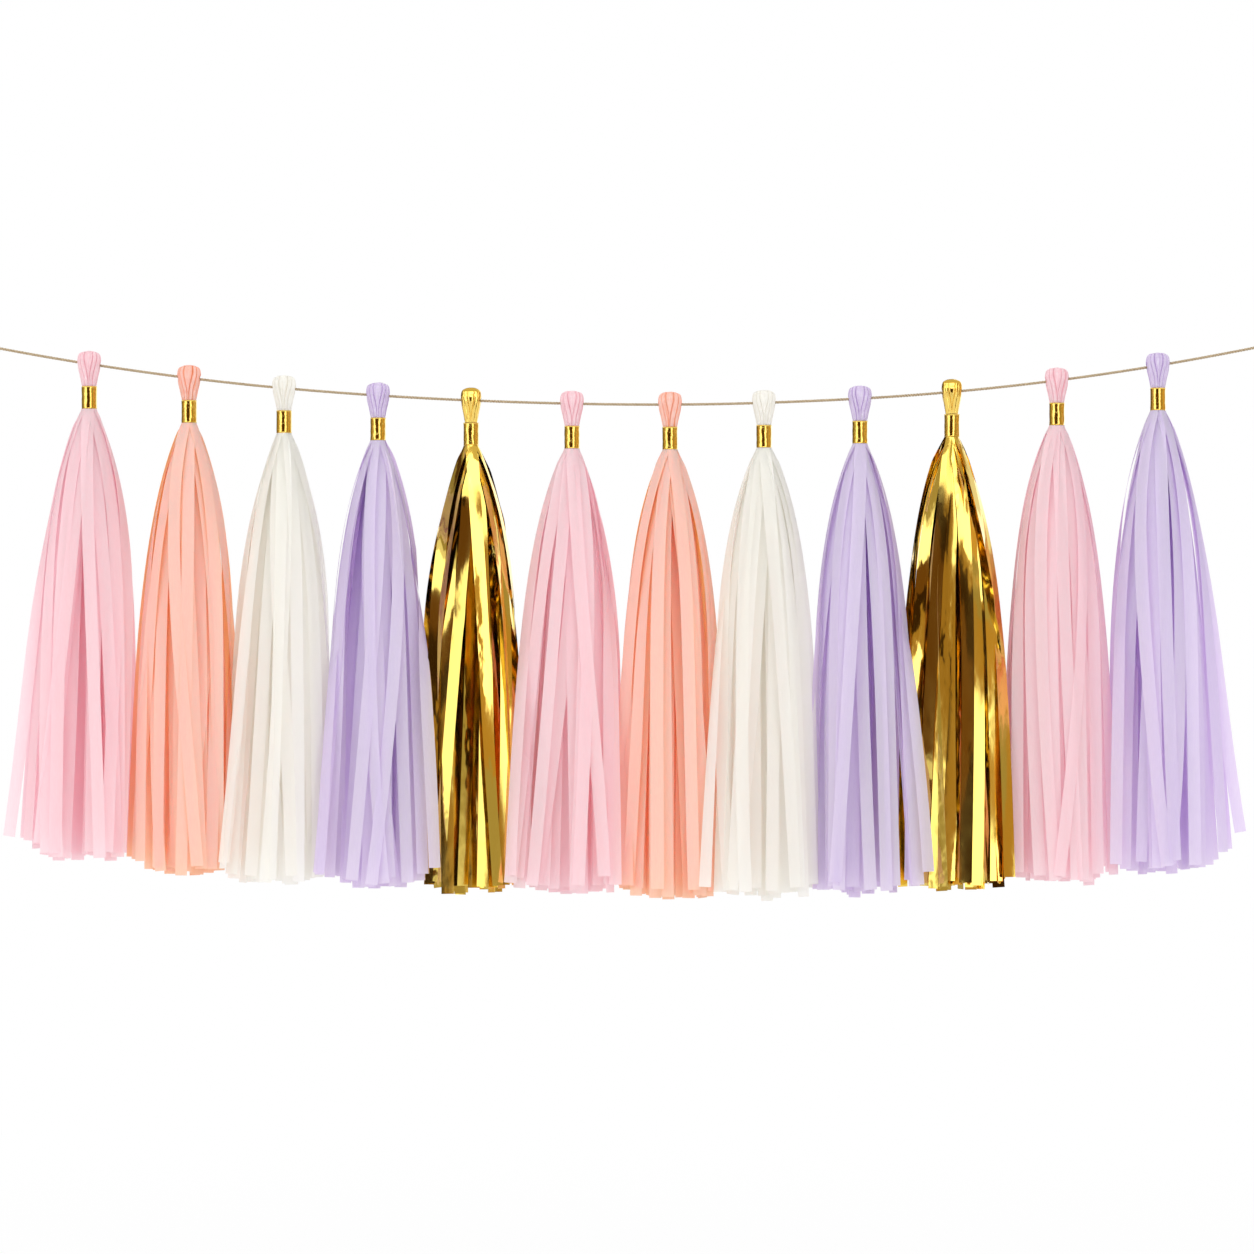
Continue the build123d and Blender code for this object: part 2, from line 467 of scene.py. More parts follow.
def twisted_twine(name, route_line, seed):
    """Plies laid round a line, as a closed mesh, and the line with even steps."""
    random = np.random.default_rng(seed)
    travel = travel_along(route_line)
    places = np.linspace(0, travel[-1], round(travel[-1] / twine_step))
    line = points_at(places, travel, route_line)
    across, up = line_frames(line)
    turn = np.linspace(0, math.tau, ply_sides, endpoint=False)
    ring = across[:, None] * np.cos(turn)[None, :, None] + up[:, None] * np.sin(turn)[None, :, None]
    reach = twine_diameter * ply_reach_share
    size = len(line) * ply_sides
    points, faces = [], []
    for ply in range(ply_count):
        angle = math.tau * (places / lay_length + ply / ply_count)
        middle = line + reach * (np.cos(angle)[:, None] * across + np.sin(angle)[:, None] * up)
        swell = 1 + swell_share * np.sin(places / swell_length + random_phase(random))
        swell = swell + random.normal(0, rough_share, len(line))
        radius = (twine_diameter * ply_radius_share * swell)[:, None, None]
        points.append((middle[:, None] + radius * ring).reshape(-1, 3))
        start = ply * size
        last = start + size - ply_sides
        faces += grid_faces(len(line), ply_sides, start, wrap=True)
        faces.append(tuple(start + side for side in reversed(range(ply_sides))))
        faces.append(tuple(last + side for side in range(ply_sides)))
    return make_piece(name, np.concatenate(points), faces, jute_finish), line


def lay_twine(name, route_line, seed, node=None):
    """Twine that rides on the twine's body, in place of a node of the solids where it has one."""
    piece, path = twisted_twine(name, route_line, seed)
    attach(piece, "twine")
    if node:
        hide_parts(node)
    return piece, path


def end_directions(route):
    """Where the twine ends at a knot, its way outwards, and the way across it in the loop's plane."""
    (x_a, z_a), (x_b, z_b) = route[:2]
    outward = np.array([x_a - x_b, 0, z_a - z_b])
    outward /= np.linalg.norm(outward)
    return np.array([x_a, 0, z_a]), outward, np.cross((0, -1, 0), outward)


def tie_knot(side, start, outward, across):
    """The turns of a knot with their tail, and the twine inside them."""
    front = np.cross(outward, across)
    steps = knot_turns * points_per_turn
    coil = []
    for step in range(steps + 1):
        angle = math.tau * step / points_per_turn
        along = twine_diameter / 2 + (knot_length - twine_diameter) * step / steps
        from_middle = across * math.cos(angle) + front * math.sin(angle)
        coil.append(start + outward * along - knot_reach * from_middle)
    lean = math.radians(tail_angle)
    tail = -outward * math.cos(lean) - across * math.sin(lean)
    ends = [coil[0] + tail * tail_length * share for share in tail_shares]
    coil_line = spline_line(ends + coil, knot_steps)
    knot, _ = lay_twine(f"twine_{side}_knot_turns", coil_line, knot_seed, f"twine_knot_{side}")
    core_ends = (-core_overlap, knot_length + core_overlap)
    core_line = np.array([start + outward * along for along in core_ends])
    core, _ = lay_twine(f"twine_{side}_knot_core", core_line, core_seed)
    return [knot, core]


def make_twine():
    """The taut span, with a knot and a hanging loop at each end."""
    span_line = spline_line([(x, 0, z) for x, z in twine_route], span_steps)
    span, span_path = lay_twine("twine_strands", span_line, span_seed, "twine_span")
    knots = []
    for side, route in (("left", twine_route), ("right", twine_route[::-1])):
        start, outward, across = end_directions(route)
        knots += tie_knot(side, start, outward, across)
        base = start + outward * knot_length
        places = [base + outward * out + across * over for out, over in loop_route]
        loop_line = spline_line(places, loop_steps)
        loop, loop_path = lay_twine(f"twine_{side}_loop_strands", loop_line, loop_seed, f"twine_loop_{side}")


# Shapes of a tassel, in millimetres
tiny = 1e-9
# Spread of a plumb skirt below its band: a quick swell, and then a slow widening
bell_swell = 25.4
bell_drop = 57
bell_widening = 0.026
# Depths between which a skirt turns from round to flat
flatten_depths = (5, 80)
# Share of its depth down to which a skirt still widens to its own reach
growth_limit = 1.1
# How far to each side of the middle a skirt's left reach passes into its right one
side_blend = 0.25


def smooth_step(value, low, high):
    """0 below low, 1 above high, and smooth between them."""
    share = np.clip((value - low) / (high - low), 0, 1)
    return share * share * (3 - 2 * share)


def fading(depth, length):
    """1 down to the band's lower edge, and fading over a length below it."""
    return np.exp(-np.maximum(depth, 0) / length)


def curve_through(places, heights, at):
    """A smooth curve through a table, without overshoot."""
    slopes = np.diff(heights) / np.diff(places)
    before, after = slopes[:-1], slopes[1:]
    inner = np.where(after * before > 0, 2 * after * before / (after + before + 1e-12), 0)
    ways = np.concatenate([slopes[:1], inner, slopes[-1:]])
    at = np.clip(at, places[0], places[-1])
    left = np.clip(np.searchsorted(places, at) - 1, 0, len(places) - 2)
    right = left + 1
    width = places[right] - places[left]
    share = (at - places[left]) / width
    square, cube = share**2, share**3
    return (
        (2 * cube - 3 * square + 1) * heights[left]
        + (cube - 2 * square + share) * width * ways[left]
        + (3 * square - 2 * cube) * heights[right]
        + (cube - square) * width * ways[right]
    )


def bell(depth):
    """Half width of a plumb skirt at a depth below its band."""
    below = np.maximum(depth, 0)
    return neck_radius + bell_swell * (1 - np.exp(-below / bell_drop)) + bell_widening * below


def flatness_at(depth):
    """Depth of the skirt as a share of its width: round at the band, and flatter below."""
    return 1 - (1 - skirt_flatness) * smooth_step(depth, *flatten_depths)


def growth_at(depth):
    """How much of its own reach a skirt has at a depth."""
    return np.clip(np.maximum(depth, 0) / skirt_depth, 0, growth_limit) ** 1.3


def reach_with(depth, lowest, growth):
    """Half width at a depth of a skirt that comes to its lowest reach with a growth."""
    return bell(depth) * (1 + (lowest / full_reach - 1) * growth)


# Of a tassel's sheets: the strips in each ring, the rows of points of a strip, how far the strips twist,
# turn and curl, in radians, and how far they may bow out, as a share of the bell
Sheets = namedtuple("Sheets", "ring_counts strip_rows loose outer_turn inner_turn curl bow")
paper_sheets = Sheets((20, 13, 9, 7, 4), 48, loose=0.19, outer_turn=0.19, inner_turn=0.19, curl=0.18, bow=1.2)
foil_sheets = Sheets((21, 15, 10, 6, 3), 84, loose=0.14, outer_turn=0.4, inner_turn=0.9, curl=0.12, bow=1.08)
ring_shares = (1.0, 0.78, 0.58, 0.38, 0.18)
layer_order = (0, 2, 1, 3)
skirt_seed = 100
strip_columns = 5
path_points = 160
# Strips start inside the band
length_in_band = 3
# Random differences between strips: places round the ring, lengths and widths
place_share = 0.3
length_error = 1.8
width_share = 0.03
# How a strip wanders round the skirt on its way down, in radians
outer_drift = 0.55
layer_drift = 0.38
most_drift = 1.0
wave_size = 0.03
wave_turns = (3, 7)
draw_in_share = 0.03
# How far strips turn to face the front or the back, and where on their way down
facing_shares = (0.4, 1.0)
facing_span = (0.08, 0.7)
front_from = 0.1
# How far the layers near the band lie under each other, and for how long
layer_depth = 0.85
layer_room = 0.7
layer_fade = 90
# How much shorter the strips at the sides end
side_rise = 5.0
# Twist of a strip about its own line: near the band, all the way down, and in waves
neck_twist = 0.24
layer_twist = 0.1
neck_twist_fade = 60
turn_span = (0.05, 0.4)
loose_strip_share = 0.15
loose_strip_gain = 2.0
wave_share = 0.7
loose_turns = (4, 9)
# Section of a strip: how it hugs the neck, curls below and has a ridge at its start
hug_share = 0.8
hug_radius = 2.6
hug_fade = 22
least_curl = 0.02
curl_span = (0.1, 0.5)
ridge_rise = 0.5
ridge_depth = 8
ridge_fade = 50
# Dents across a foil strip
most_dents = 2
dent_places = (0.1, 0.95)
dent_slant = (-5, 5)
dent_rise = 0.6
dent_lengths = (5, 12)
# How far strips may stand off the bell: near the band, and free lower down
held_depth = 0.5
bell_margin = 1.2
margin_depths = (3, 20)
free_margin = 30
bow_widening = 0.02
past_limit_share = 0.15
# Strips that stand away from the others: direction in degrees, extra length and reach
standing_strips = {0: (172, 12, 51), len(tassels) - 1: (8, 14, 57)}
standing_loose = 0.05
# How strips lie over the neighbour's skirt, and how far the hidden ones reach under it
over_margin = 2
over_start = 0.35
over_span = 0.95
over_room = 2.5
under_reach = 5
foil_tones = (0.78, 1.0)
paper_tone_error = 0.015


class Skirt:
    """The strips of one tassel, gathered point by point."""

    def __init__(self, index):
        self.random = np.random.default_rng(skirt_seed + index)
        self.foil = colours[index] == "gold"
        self.sheets = foil_sheets if self.foil else paper_sheets
        self.finish = finishes[colours[index]]
        self.blocks = []
        self.tones = []
        self.reach, self.rear, self.under = {}, {}, {}
        for side, (reach, over) in ((-1, left_sides[index]), (1, right_sides[index])):
            self.reach[side] = self.rear[side] = reach
            neighbour = index + side
            if over and 0 <= neighbour < len(tassels):
                pitch = abs(hinges[neighbour][0] - hinges[index][0]) / MM
                facing = (left_sides if side > 0 else right_sides)[neighbour][0]
                self.under[side] = (pitch, facing)
                self.rear[side] = min(reach, pitch - facing + under_reach)

    def reach_at(self, depth, angle, in_front):
        """How far the skirt reaches to the side that an angle looks to, at a depth."""
        reach = self.reach if in_front else self.rear
        side = smooth_step(np.cos(angle), -side_blend, side_blend)
        lowest = reach[-1] + (reach[1] - reach[-1]) * side
        return reach_with(depth, lowest, growth_at(depth))

    def lay_over(self, line, depth):
        """Brings a front strip before a neighbour's skirt where it lies over it."""
        for side, (pitch, facing) in self.under.items():
            from_neighbour = np.abs(pitch - side * line[:, 0])
            room = reach_with(depth, facing, growth_at(depth)) + over_margin
            share = np.clip((from_neighbour / room - over_start) / over_span, 0, 1)
            needed = (skirt_flatness * bell(depth) + over_room) * np.cos(share * math.pi / 2)
            line[:, 1] = np.where(share < 1, np.minimum(line[:, 1], -needed), line[:, 1])
        return line

    def add_strip(self, angle, share, length, under=0, own_reach=0):
        """One strip from inside the band to its cut end.

        The strips of a ring lie under each other in layers near the band, where there is no room for
        them side by side, and spread out from there. A strip with a reach of its own stands away.
        """
        line, turn, faced = self.strip_line(angle, share, length, under, own_reach)
        depth = -line[:, 2]
        across, out = self.strip_ways(line, turn, depth, faced, share, under, own_reach)
        reach_across, rise = self.strip_section(depth, share)
        points = line[:, None] + across[:, None] * reach_across[..., None] + out[:, None] * rise[..., None]
        self.hold(points, depth, under * share)
        self.blocks.append(points.reshape(-1, 3))
        if self.foil:
            tone = self.random.uniform(*foil_tones)
        else:
            tone = 1 - abs(self.random.normal(0, paper_tone_error))
        self.tones.append(np.full(points.shape[0] * points.shape[1], tone))

    def strip_line(self, angle, share, length, under, own_reach):
        """The strip's middle line, its angle round the skirt, and how far it turns to the front."""
        random = self.random
        depth = np.linspace(-length_in_band, length, path_points)
        below = np.clip(depth / length, 0, 1)
        size = random.normal(0, wave_size)
        wave = size * np.sin(below * random.uniform(*wave_turns) + random_phase(random))
        drift = np.clip(random.normal(0, layer_drift if under else outer_drift), -most_drift, most_drift)
        if own_reach:
            wave = drift = 0
        turn = angle + drift * below**1.1 + wave * below
        in_front = math.sin(turn[-1]) > front_from
        faced = 1.0 if own_reach else random.uniform(*facing_shares)
        draw_in = 1 - abs(random.normal(0, draw_in_share)) * below
        if own_reach:
            reach = reach_with(depth, own_reach, below**2.2)
        else:
            turned_edge = strip_width / 2 * faced * np.abs(np.cos(turn)) * smooth_step(below, *facing_span)
            reach = self.reach_at(depth, turn, in_front) - turned_edge
        tuck = layer_depth * under * share
        x = (share * draw_in * reach - tuck) * np.cos(turn)
        y = -(share * draw_in * flatness_at(depth) * bell(depth) - tuck) * np.sin(turn)
        line = np.stack([x, y, -depth], axis=1)
        travel = travel_along(line)
        cut = length - side_rise * (abs(x[-1]) / full_reach) ** 4
        places = cut * np.linspace(0, 1, self.sheets.strip_rows) ** 1.25
        line = points_at(places, travel, line)
        if in_front:
            line = self.lay_over(line, -line[:, 2])
        return line, np.interp(places, travel, turn), faced

    def strip_ways(self, line, turn, depth, faced, share, under, own_reach):
        """The ways across the strip and out of its face, at each point of its line."""
        random = self.random
        below = np.clip(depth / skirt_depth, 0, 1)
        way = np.gradient(line, axis=0)
        way /= np.linalg.norm(way, axis=1)[:, None]

        # Across the strip: round the skirt near the band, and more to the front or back lower down
        level = np.stack([-np.sin(turn), -np.cos(turn), np.zeros_like(turn)], axis=1)
        facing = 1 if own_reach or math.sin(turn[-1]) >= 0 else -1
        turned_out = (faced * smooth_step(below, *facing_span))[:, None]
        across = level * (1 - turned_out) + np.array([-facing, 0, 0]) * turned_out
        across -= way * np.sum(across * way, axis=1)[:, None]
        across /= np.linalg.norm(across, axis=1)[:, None] + tiny
        out = np.cross(across, way)

        # Twist about the strip's own line
        loose = self.sheets.loose
        turned = self.sheets.outer_turn if share == 1 else self.sheets.inner_turn
        if own_reach:
            loose = turned = standing_loose
        elif random.random() < loose_strip_share:
            loose *= loose_strip_gain
        twist = random.normal(0, neck_twist + layer_twist * under) * fading(depth, neck_twist_fade)
        twist = twist + random.normal(0, turned) * smooth_step(below, *turn_span)
        waves = np.sin(below * random.uniform(*loose_turns) + random_phase(random))
        twist = twist + loose * wave_share * waves * below
        cos, sin = np.cos(twist)[:, None], np.sin(twist)[:, None]
        return across * cos + out * sin, -across * sin + out * cos

    def strip_section(self, depth, share):
        """A ribbon that hugs the neck and is nearly flat below: its places across and their rise."""
        random = self.random
        below = np.clip(depth / skirt_depth, 0, 1)
        width = strip_width * (1 + random.normal(0, width_share))
        curl_end = random.normal(0.0, self.sheets.curl)
        hug = hug_share * width / np.maximum(share * bell(depth), hug_radius)
        curl = curl_end * smooth_step(below, *curl_span) + hug * fading(depth, hug_fade)
        curl = np.where(np.abs(curl) < least_curl, least_curl, curl)
        columns = np.linspace(-1, 1, strip_columns)
        bend = columns[None] * curl[:, None] / 2
        reach_across = width / curl[:, None] * np.sin(bend)
        rise = width / curl[:, None] * (np.cos(bend) - np.mean(np.cos(bend), axis=1)[:, None])
        ridge = random.normal(0, ridge_rise) * smooth_step(depth, 0, ridge_depth) * fading(depth, ridge_fade)
        rise = rise + ridge[:, None] * (0.5 - np.abs(columns))[None]
        if self.foil:
            for _ in range(random.integers(0, most_dents + 1)):
                place = random.uniform(*dent_places) * skirt_depth + random.uniform(*dent_slant) * columns
                size = random.normal(0, dent_rise)
                length = random.uniform(*dent_lengths)
                rise = rise + size * np.exp(-(((depth[:, None] - place[None]) / length) ** 2))
        return reach_across, rise

    def hold(self, points, depth, layer):
        """Brings a strip's points inside the band, and near the bell below it."""
        below = np.clip(depth / skirt_depth, 0, 1)
        far = np.hypot(points[..., 0], points[..., 1])
        bowed = neck_radius + self.sheets.bow * (bell(depth) - neck_radius) + bow_widening * depth
        limit = np.where(depth < 0, neck_radius, bowed)
        limit = limit + bell_margin * smooth_step(depth, *margin_depths)
        limit = limit + free_margin * smooth_step(below, *curl_span)
        limit = (limit - layer_room * layer * fading(depth, layer_fade))[:, None]
        held = np.where(far > limit, (limit + past_limit_share * (far - limit)) / (far + tiny), 1)
        in_band = np.minimum(held, neck_radius / np.maximum(far, neck_radius))
        held = np.where(depth[:, None] < held_depth, in_band, held)
        points[..., 0] *= held
        points[..., 1] *= held

    def make(self, name, hinge):
        """The mesh piece of all strips."""
        faces = []
        rows = self.sheets.strip_rows
        for block in range(len(self.blocks)):
            faces += grid_faces(rows, strip_columns, block * rows * strip_columns)
        points = np.concatenate(self.blocks)
        points[:, 2] -= head_drop + band_height
        return make_piece(name, points * MM + hinge, faces, self.finish, np.concatenate(self.tones))


def make_skirt(index, name, hinge):
    """The strips of one tassel, ring by ring."""
    skirt = Skirt(index)
    random = skirt.random
    for count, share in zip(skirt.sheets.ring_counts, ring_shares):
        phase = random.uniform(0, math.tau)
        for place in range(count):
            angle = phase + math.tau * (place + random.normal(0, place_share)) / count
            length = strip_length + cut_longer[index] + random.normal(0, length_error)
            skirt.add_strip(angle, share, length, layer_order[place % len(layer_order)])
    if index in standing_strips:
        direction, longer, reach = standing_strips[index]
        skirt.add_strip(math.radians(direction), 1.0, strip_length + longer, own_reach=reach)
    return skirt.make(name, hinge)


# Heads. Heights in this table are shares of the head's rise above the hinge or of its drop below it
head_section_shares = (
    (-1.12, 0.55),
    (-1.0, 0.60),
    (-0.6, 0.75),
    (-0.2, 0.92),
    (0.2, 1.0),
    (0.62, 0.95),
    (0.88, 0.82),
    (1.0, 0.64),
)
head_lowest = head_section_shares[0][0] * head_drop
head_seed = 300
# Seed of the painted shade and light on the paper heads' folds
painted_shade_seed = 700
leg_rows = 22
arc_rows = 25
arc_width_share = 0.97
arc_depth_share = 0.96
top_drop = 0.13
neck_end_share = 0.9
head_merge = 0.02
# Valleys between the five lobes across the head: drawn together at the band and open above it
lobe_count = 5
lobe_columns = 18
gathered = np.array([-1.0, -0.5, -0.07, 0.07, 0.5, 1.0])
opened = np.array([-1.0, -0.74, -0.42, 0.42, 0.74, 1.0])
valley_swing = 0.05
# Folds, in millimetres
lobe_rises = (0.8, 1.15)
lobe_slant = 0.16
usual_rise = 0.94
pleat_share = 0.05
pleat_waves = 15
puff_rise = 0.12
edge_share = 0.06
paper_top_calm = 0.5
foil_top_calm = 0.9
streak_rise = 0.12
cap_length = 0.7
cap_drop = 0.6
# Where the folds puff out from, and how much less they do so upwards
puff_middle = np.array([0.0, 0.0, -1.5])
puff_up_share = 0.35
# Painted light and shade in the tone of a paper head: its ridges are painted bright, and its valleys and fine
# lines along its folds are painted deep, where shade would fall
painted_ridge_light = 1.35
painted_valley_shades = (0.4, 1.2)
painted_slope_shade = 0.75
painted_crease_shade = 0.6
shade_line_count = 14
shade_line_sway = (-0.25, 0.25)
shade_line_turns = (4, 9)
shade_line_start = 0.3
shade_line_widths = (0.05, 0.12)
shade_line_depths = (0.15, 0.5)


def head_half_width(height, width):
    """Half width of the head at a height above the hinge."""
    share = np.where(height > 0, height / head_rise, height / head_drop)
    return width / 2 * curve_through(*np.array(head_section_shares).T, share)


def head_profile(width, deep):
    """Half width, place to the back, height and share of the top of each row of points.

    The rows run up the front, over the twine and down the back.
    """
    leg = np.linspace(head_lowest, 0, leg_rows)
    halves = head_half_width(leg, width)
    front = [(half, -half * deep / width, height, 0.0) for half, height in zip(halves, leg)]
    arc = np.linspace(0, math.pi, arc_rows + 2)[1:-1]
    rises = np.array([head_rise * math.sin(angle) ** 0.82 for angle in arc])
    halves = head_half_width(rises * arc_width_share, width)
    over = [
        (half, -deep / 2 * math.cos(angle) * arc_depth_share, rise, math.sin(angle))
        for half, angle, rise in zip(halves, arc, rises)
    ]
    back = [(half, -place, height, top) for half, place, height, top in reversed(front)]
    return np.array(front + over + back).T


def head_valleys(random, height, travel):
    """Where the valleys between the folds run across the head, from -1 to 1, in each row."""
    swing = random.normal(0, valley_swing, lobe_count + 1)
    swing[[0, -1]] = 0
    lift = smooth_step(height, -head_drop * 0.8, head_rise * 0.7)[:, None]
    return gathered + (opened - gathered) * lift + swing * np.cos(travel * math.pi)[:, None]


def head_folds(random, gold, over, valleys, travel):
    """How far each point's fold stands out, and its place across the folds."""
    fold = np.zeros(over.shape)
    across = np.full(over.shape, float(lobe_count))
    for lobe in range(lobe_count):
        low, high = valleys[:, lobe, None], valleys[:, lobe + 1, None]
        part = (over - low) / (high - low)
        inside = (part >= 0) & (part < 1)
        rise = random.uniform(*lobe_rises) * (1 + random.normal(0, lobe_slant) * (2 * part - 1))
        rounded = (1 - np.abs(2 * np.clip(part, 0, 1) - 1) ** 5) ** 0.6
        pleat = np.sin(pleat_waves * part + 3 * travel[:, None] + random_phase(random))
        fold = np.where(inside, rise * rounded * (1 + (0 if gold else pleat_share) * pleat), fold)
        across = np.where(inside, lobe + part, across)
    return fold, across


def painted_fold_shade(index, across, travel):
    """Painted shade: deeper tones in the valleys between a head's folds and in fine lines along them, with
    painted light on its ridges.
    """
    random = np.random.default_rng(painted_shade_seed + index)
    from_ridge = np.abs(2 * (across % 1) - 1)
    shade_strength = random.uniform(*painted_valley_shades, lobe_count + 1)[np.rint(across).astype(int)]
    valley_shade = painted_slope_shade * from_ridge**3 + painted_crease_shade * from_ridge**14
    tones = painted_ridge_light - shade_strength * valley_shade
    # Fine lines of painted shade along the folds, where thin pleats would lie in shade
    for _ in range(shade_line_count):
        place = random.uniform(0.1, lobe_count - 0.1)
        place = place + random.uniform(*shade_line_sway) * np.cos(travel * math.pi)
        length = np.sin(travel * random.uniform(*shade_line_turns) + random_phase(random)) + shade_line_start
        pleat = np.exp(-(((across - place[:, None]) / random.uniform(*shade_line_widths)) ** 2))
        tones -= random.uniform(*shade_line_depths) * np.clip(length, 0, 1)[:, None] * pleat
    return tones


def make_head(index, name, hinge, slope):
    """The sheets folded over the twine: folds run up the front, over the top and down the back."""
    random = np.random.default_rng(head_seed + index)
    gold = colours[index] == "gold"
    width = head_width * (foil_head_share if gold else 1)
    deep = head_depth * width / head_width
    half, back, height, top = head_profile(width, deep)
    rows = len(height)
    travel = np.linspace(0, 1, rows)

    # Columns of points follow the valleys, so that each valley stays one clean line
    valleys = head_valleys(random, height, travel)
    edges = np.arcsin(valleys)
    steps = np.linspace(0, 1, lobe_columns, endpoint=False)
    turn = (edges[:, :-1, None] + np.diff(edges, axis=1)[..., None] * steps).reshape(rows, -1)
    turn = np.concatenate([turn, edges[:, -1:]], axis=1)
    over = np.sin(turn)
    columns = over.shape[1]
    points = np.zeros((rows, columns, 3))
    points[..., 0] = half[:, None] * over
    points[..., 1] = back[:, None] * np.abs(np.cos(turn)) ** 0.85
    points[..., 2] = height[:, None] * (1 - top_drop * top[:, None] * np.abs(over) ** 2.5)

    # Folds: rounded lobes with sharp valleys between them, which draw together towards the band
    fold, across = head_folds(random, gold, over, valleys, travel)
    away = points - puff_middle
    away[..., 2] *= puff_up_share
    away /= np.linalg.norm(away, axis=2)[..., None] + tiny
    puff = np.cos(over * 7 + travel[:, None] * 4 + random_phase(random))
    lay = puff_rise * puff + (fold - usual_rise)
    if gold:
        streaks = np.sin(over * 6 + 2 * np.sin(travel[:, None] * 6) + random_phase(random))
        cap = np.exp(-(((height - 0.5 * head_rise) / cap_length) ** 2))[:, None]
        lay = lay + streak_rise * streaks * (1 - cap) - cap_drop * cap
    calm = 1 - (foil_top_calm if gold else paper_top_calm) * top
    strength = (smooth_step(height, head_lowest + 1.0, -head_drop * 0.6) * calm)[:, None]
    strength = strength * smooth_step(1 - np.abs(over), 0.0, edge_share)
    points += away * (lay * strength)[..., None]
    points[[0, -1], :, :2] *= neck_end_share

    # The two ends of the sheets meet in one point at the neck's middle
    faces = grid_faces(rows, columns)
    below = rows * columns
    last = below - columns
    for column in range(columns - 1):
        faces.append((column + 1, column, below))
        faces.append((last + column, last + column + 1, below))
    flat = np.concatenate([points.reshape(-1, 3), [[0, 0, head_lowest]]])
    # Paper heads carry painted shade in their valleys and fine lines and painted light on their ridges; gold
    # heads keep one tone
    tones = np.ones(over.shape) if gold else painted_fold_shade(index, across, travel)
    piece = make_piece(name, flat * MM, faces, folded[colours[index]], np.append(tones, 1.0))
    face_outwards(piece.data, head_merge * MM)
    cut_eye(piece, slope, width)
    piece.data.transform(Matrix.Translation(hinge))
    return piece


eye_sides = 24
eye_margin = 1.5


def cut_eye(piece, slope, width):
    """Cuts the eye, which widens to both sides so that the sloping twine clears it at every swing."""
    half = (width / 2 + eye_margin) * MM
    points = []
    for along in (-half, 0, half):
        radius = eye_radius * MM + abs(along) * abs(slope)
        for side in range(eye_sides):
            angle = math.tau * side / eye_sides
            points.append((along, radius * math.cos(angle), radius * math.sin(angle)))
    faces = grid_faces(3, eye_sides, wrap=True)
    faces.append(tuple(reversed(range(eye_sides))))
    faces.append(tuple(2 * eye_sides + side for side in range(eye_sides)))
    cutter = make_piece("eye_cutter", points, faces, piece.data.materials[0])
    face_outwards(cutter.data)
    cut = piece.modifiers.new("eye", "BOOLEAN")
    cut.operation = "DIFFERENCE"
    cut.object = cutter
    cut.solver = "EXACT"
    bpy.context.view_layer.update()
    settled = piece.evaluated_get(bpy.context.evaluated_depsgraph_get())
    mesh = bpy.data.meshes.new_from_object(settled)
    piece.modifiers.clear()
    piece.data = mesh
    bpy.data.objects.remove(cutter)


# Bands, in millimetres
band_seed = 500
band_columns = 110
band_rows = 19
lap_angle = 0.6
lap_rise = 0.17
dent_waves = 14
waves_round = (1, 6)
waves_up = (0.15, 1.3)
dent_size = 0.014
rim_flare = 0.06
rim_length = 0.5


def make_band(index, name, hinge):
    """The foil strip wound round the neck, pressed by hand, with its free end lapped at the back."""
    random = np.random.default_rng(band_seed + index)
    rows, columns = band_rows, band_columns
    turn = math.pi / 2 - lap_angle + np.linspace(0, math.tau * band_turns, columns)
    height = np.linspace(0, band_height, rows)
    spiral = band_radius + lap_rise * np.linspace(0, band_turns, columns)
    dent = np.zeros((rows, columns))
    for _ in range(dent_waves):
        across = random.integers(*waves_round)
        up = random.uniform(*waves_up)
        size = random.normal(0, dent_size)
        dent += size * np.cos(across * turn[None] + up * height[:, None] + random_phase(random))
    rim = rim_flare * (np.exp(-height / rim_length) + np.exp(-(band_height - height) / rim_length))
    level = np.broadcast_to(height[:, None] - head_drop - band_height, dent.shape)
    skins = []
    for skin in (0, band_thickness):
        radius = spiral[None] + dent + skin + rim[:, None]
        skins.append(np.stack([radius * np.cos(turn)[None], radius * np.sin(turn)[None], level], axis=2))
    size = rows * columns
    points = np.concatenate([skin.reshape(-1, 3) for skin in skins])
    faces = [face[::-1] for face in grid_faces(rows, columns)] + grid_faces(rows, columns, size)
    grid = np.arange(size).reshape(rows, columns)
    edge = [*grid[:, 0], *grid[-1, 1:], *grid[-2::-1, -1], *grid[0, -2:0:-1]]
    faces += [(a, b, size + b, size + a) for a, b in zip(edge, edge[1:] + edge[:1])]
    return make_piece(name, points * MM + hinge, faces, band_finish, np.ones(len(points)))


def twine_slope(x):
    """The twine's slope at a place along it, read from its route."""
    for (x_a, z_a), (x_b, z_b) in zip(twine_route, twine_route[1:]):
        if x <= x_b:
            return (z_b - z_a) / (x_b - x_a)
    return 0


def make_tassels():
    """Every tassel's strips, head and band, on the body that swings on the twine."""
    for index, (hinge, colour) in enumerate(zip(hinges, colours)):
        body = f"tassel_{index + 1:02d}"
        strips = make_skirt(index, f"{body}_strips", hinge)
        head = make_head(index, f"{body}_folds", hinge, twine_slope(hinge[0]))
        band = make_band(index, f"{body}_wrap", hinge)
        for piece, node, slot in (
            (strips, "skirt", slots[colour]),
            (head, "head", slots[colour]),
            (band, "band", "gold_band"),
        ):
            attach(piece, body)
            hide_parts(f"{body}_{node}")


# Stage, in metres again: floor, background, cards and lamps
floor_height = -0.62
floor_half = 5.0
floor_paint = (0.86, 0.86, 0.86, 1)
floor_glow = 0.9
floor_fade = (0.3, 1.6)
world_light = 0.88
# Cards that only mirrors see, as a photographer stands them round metal, with lamps in their gaps
card_distance = 5.5
card_half_height = 4.0
card_steps = 8
ceiling_height = 3.4
ceiling_light = 0.7
brown = (1, 0.45, 0.12, 1)
orange = (1, 0.60, 0.18, 1)
khaki = (1, 0.85, 0.50, 1)
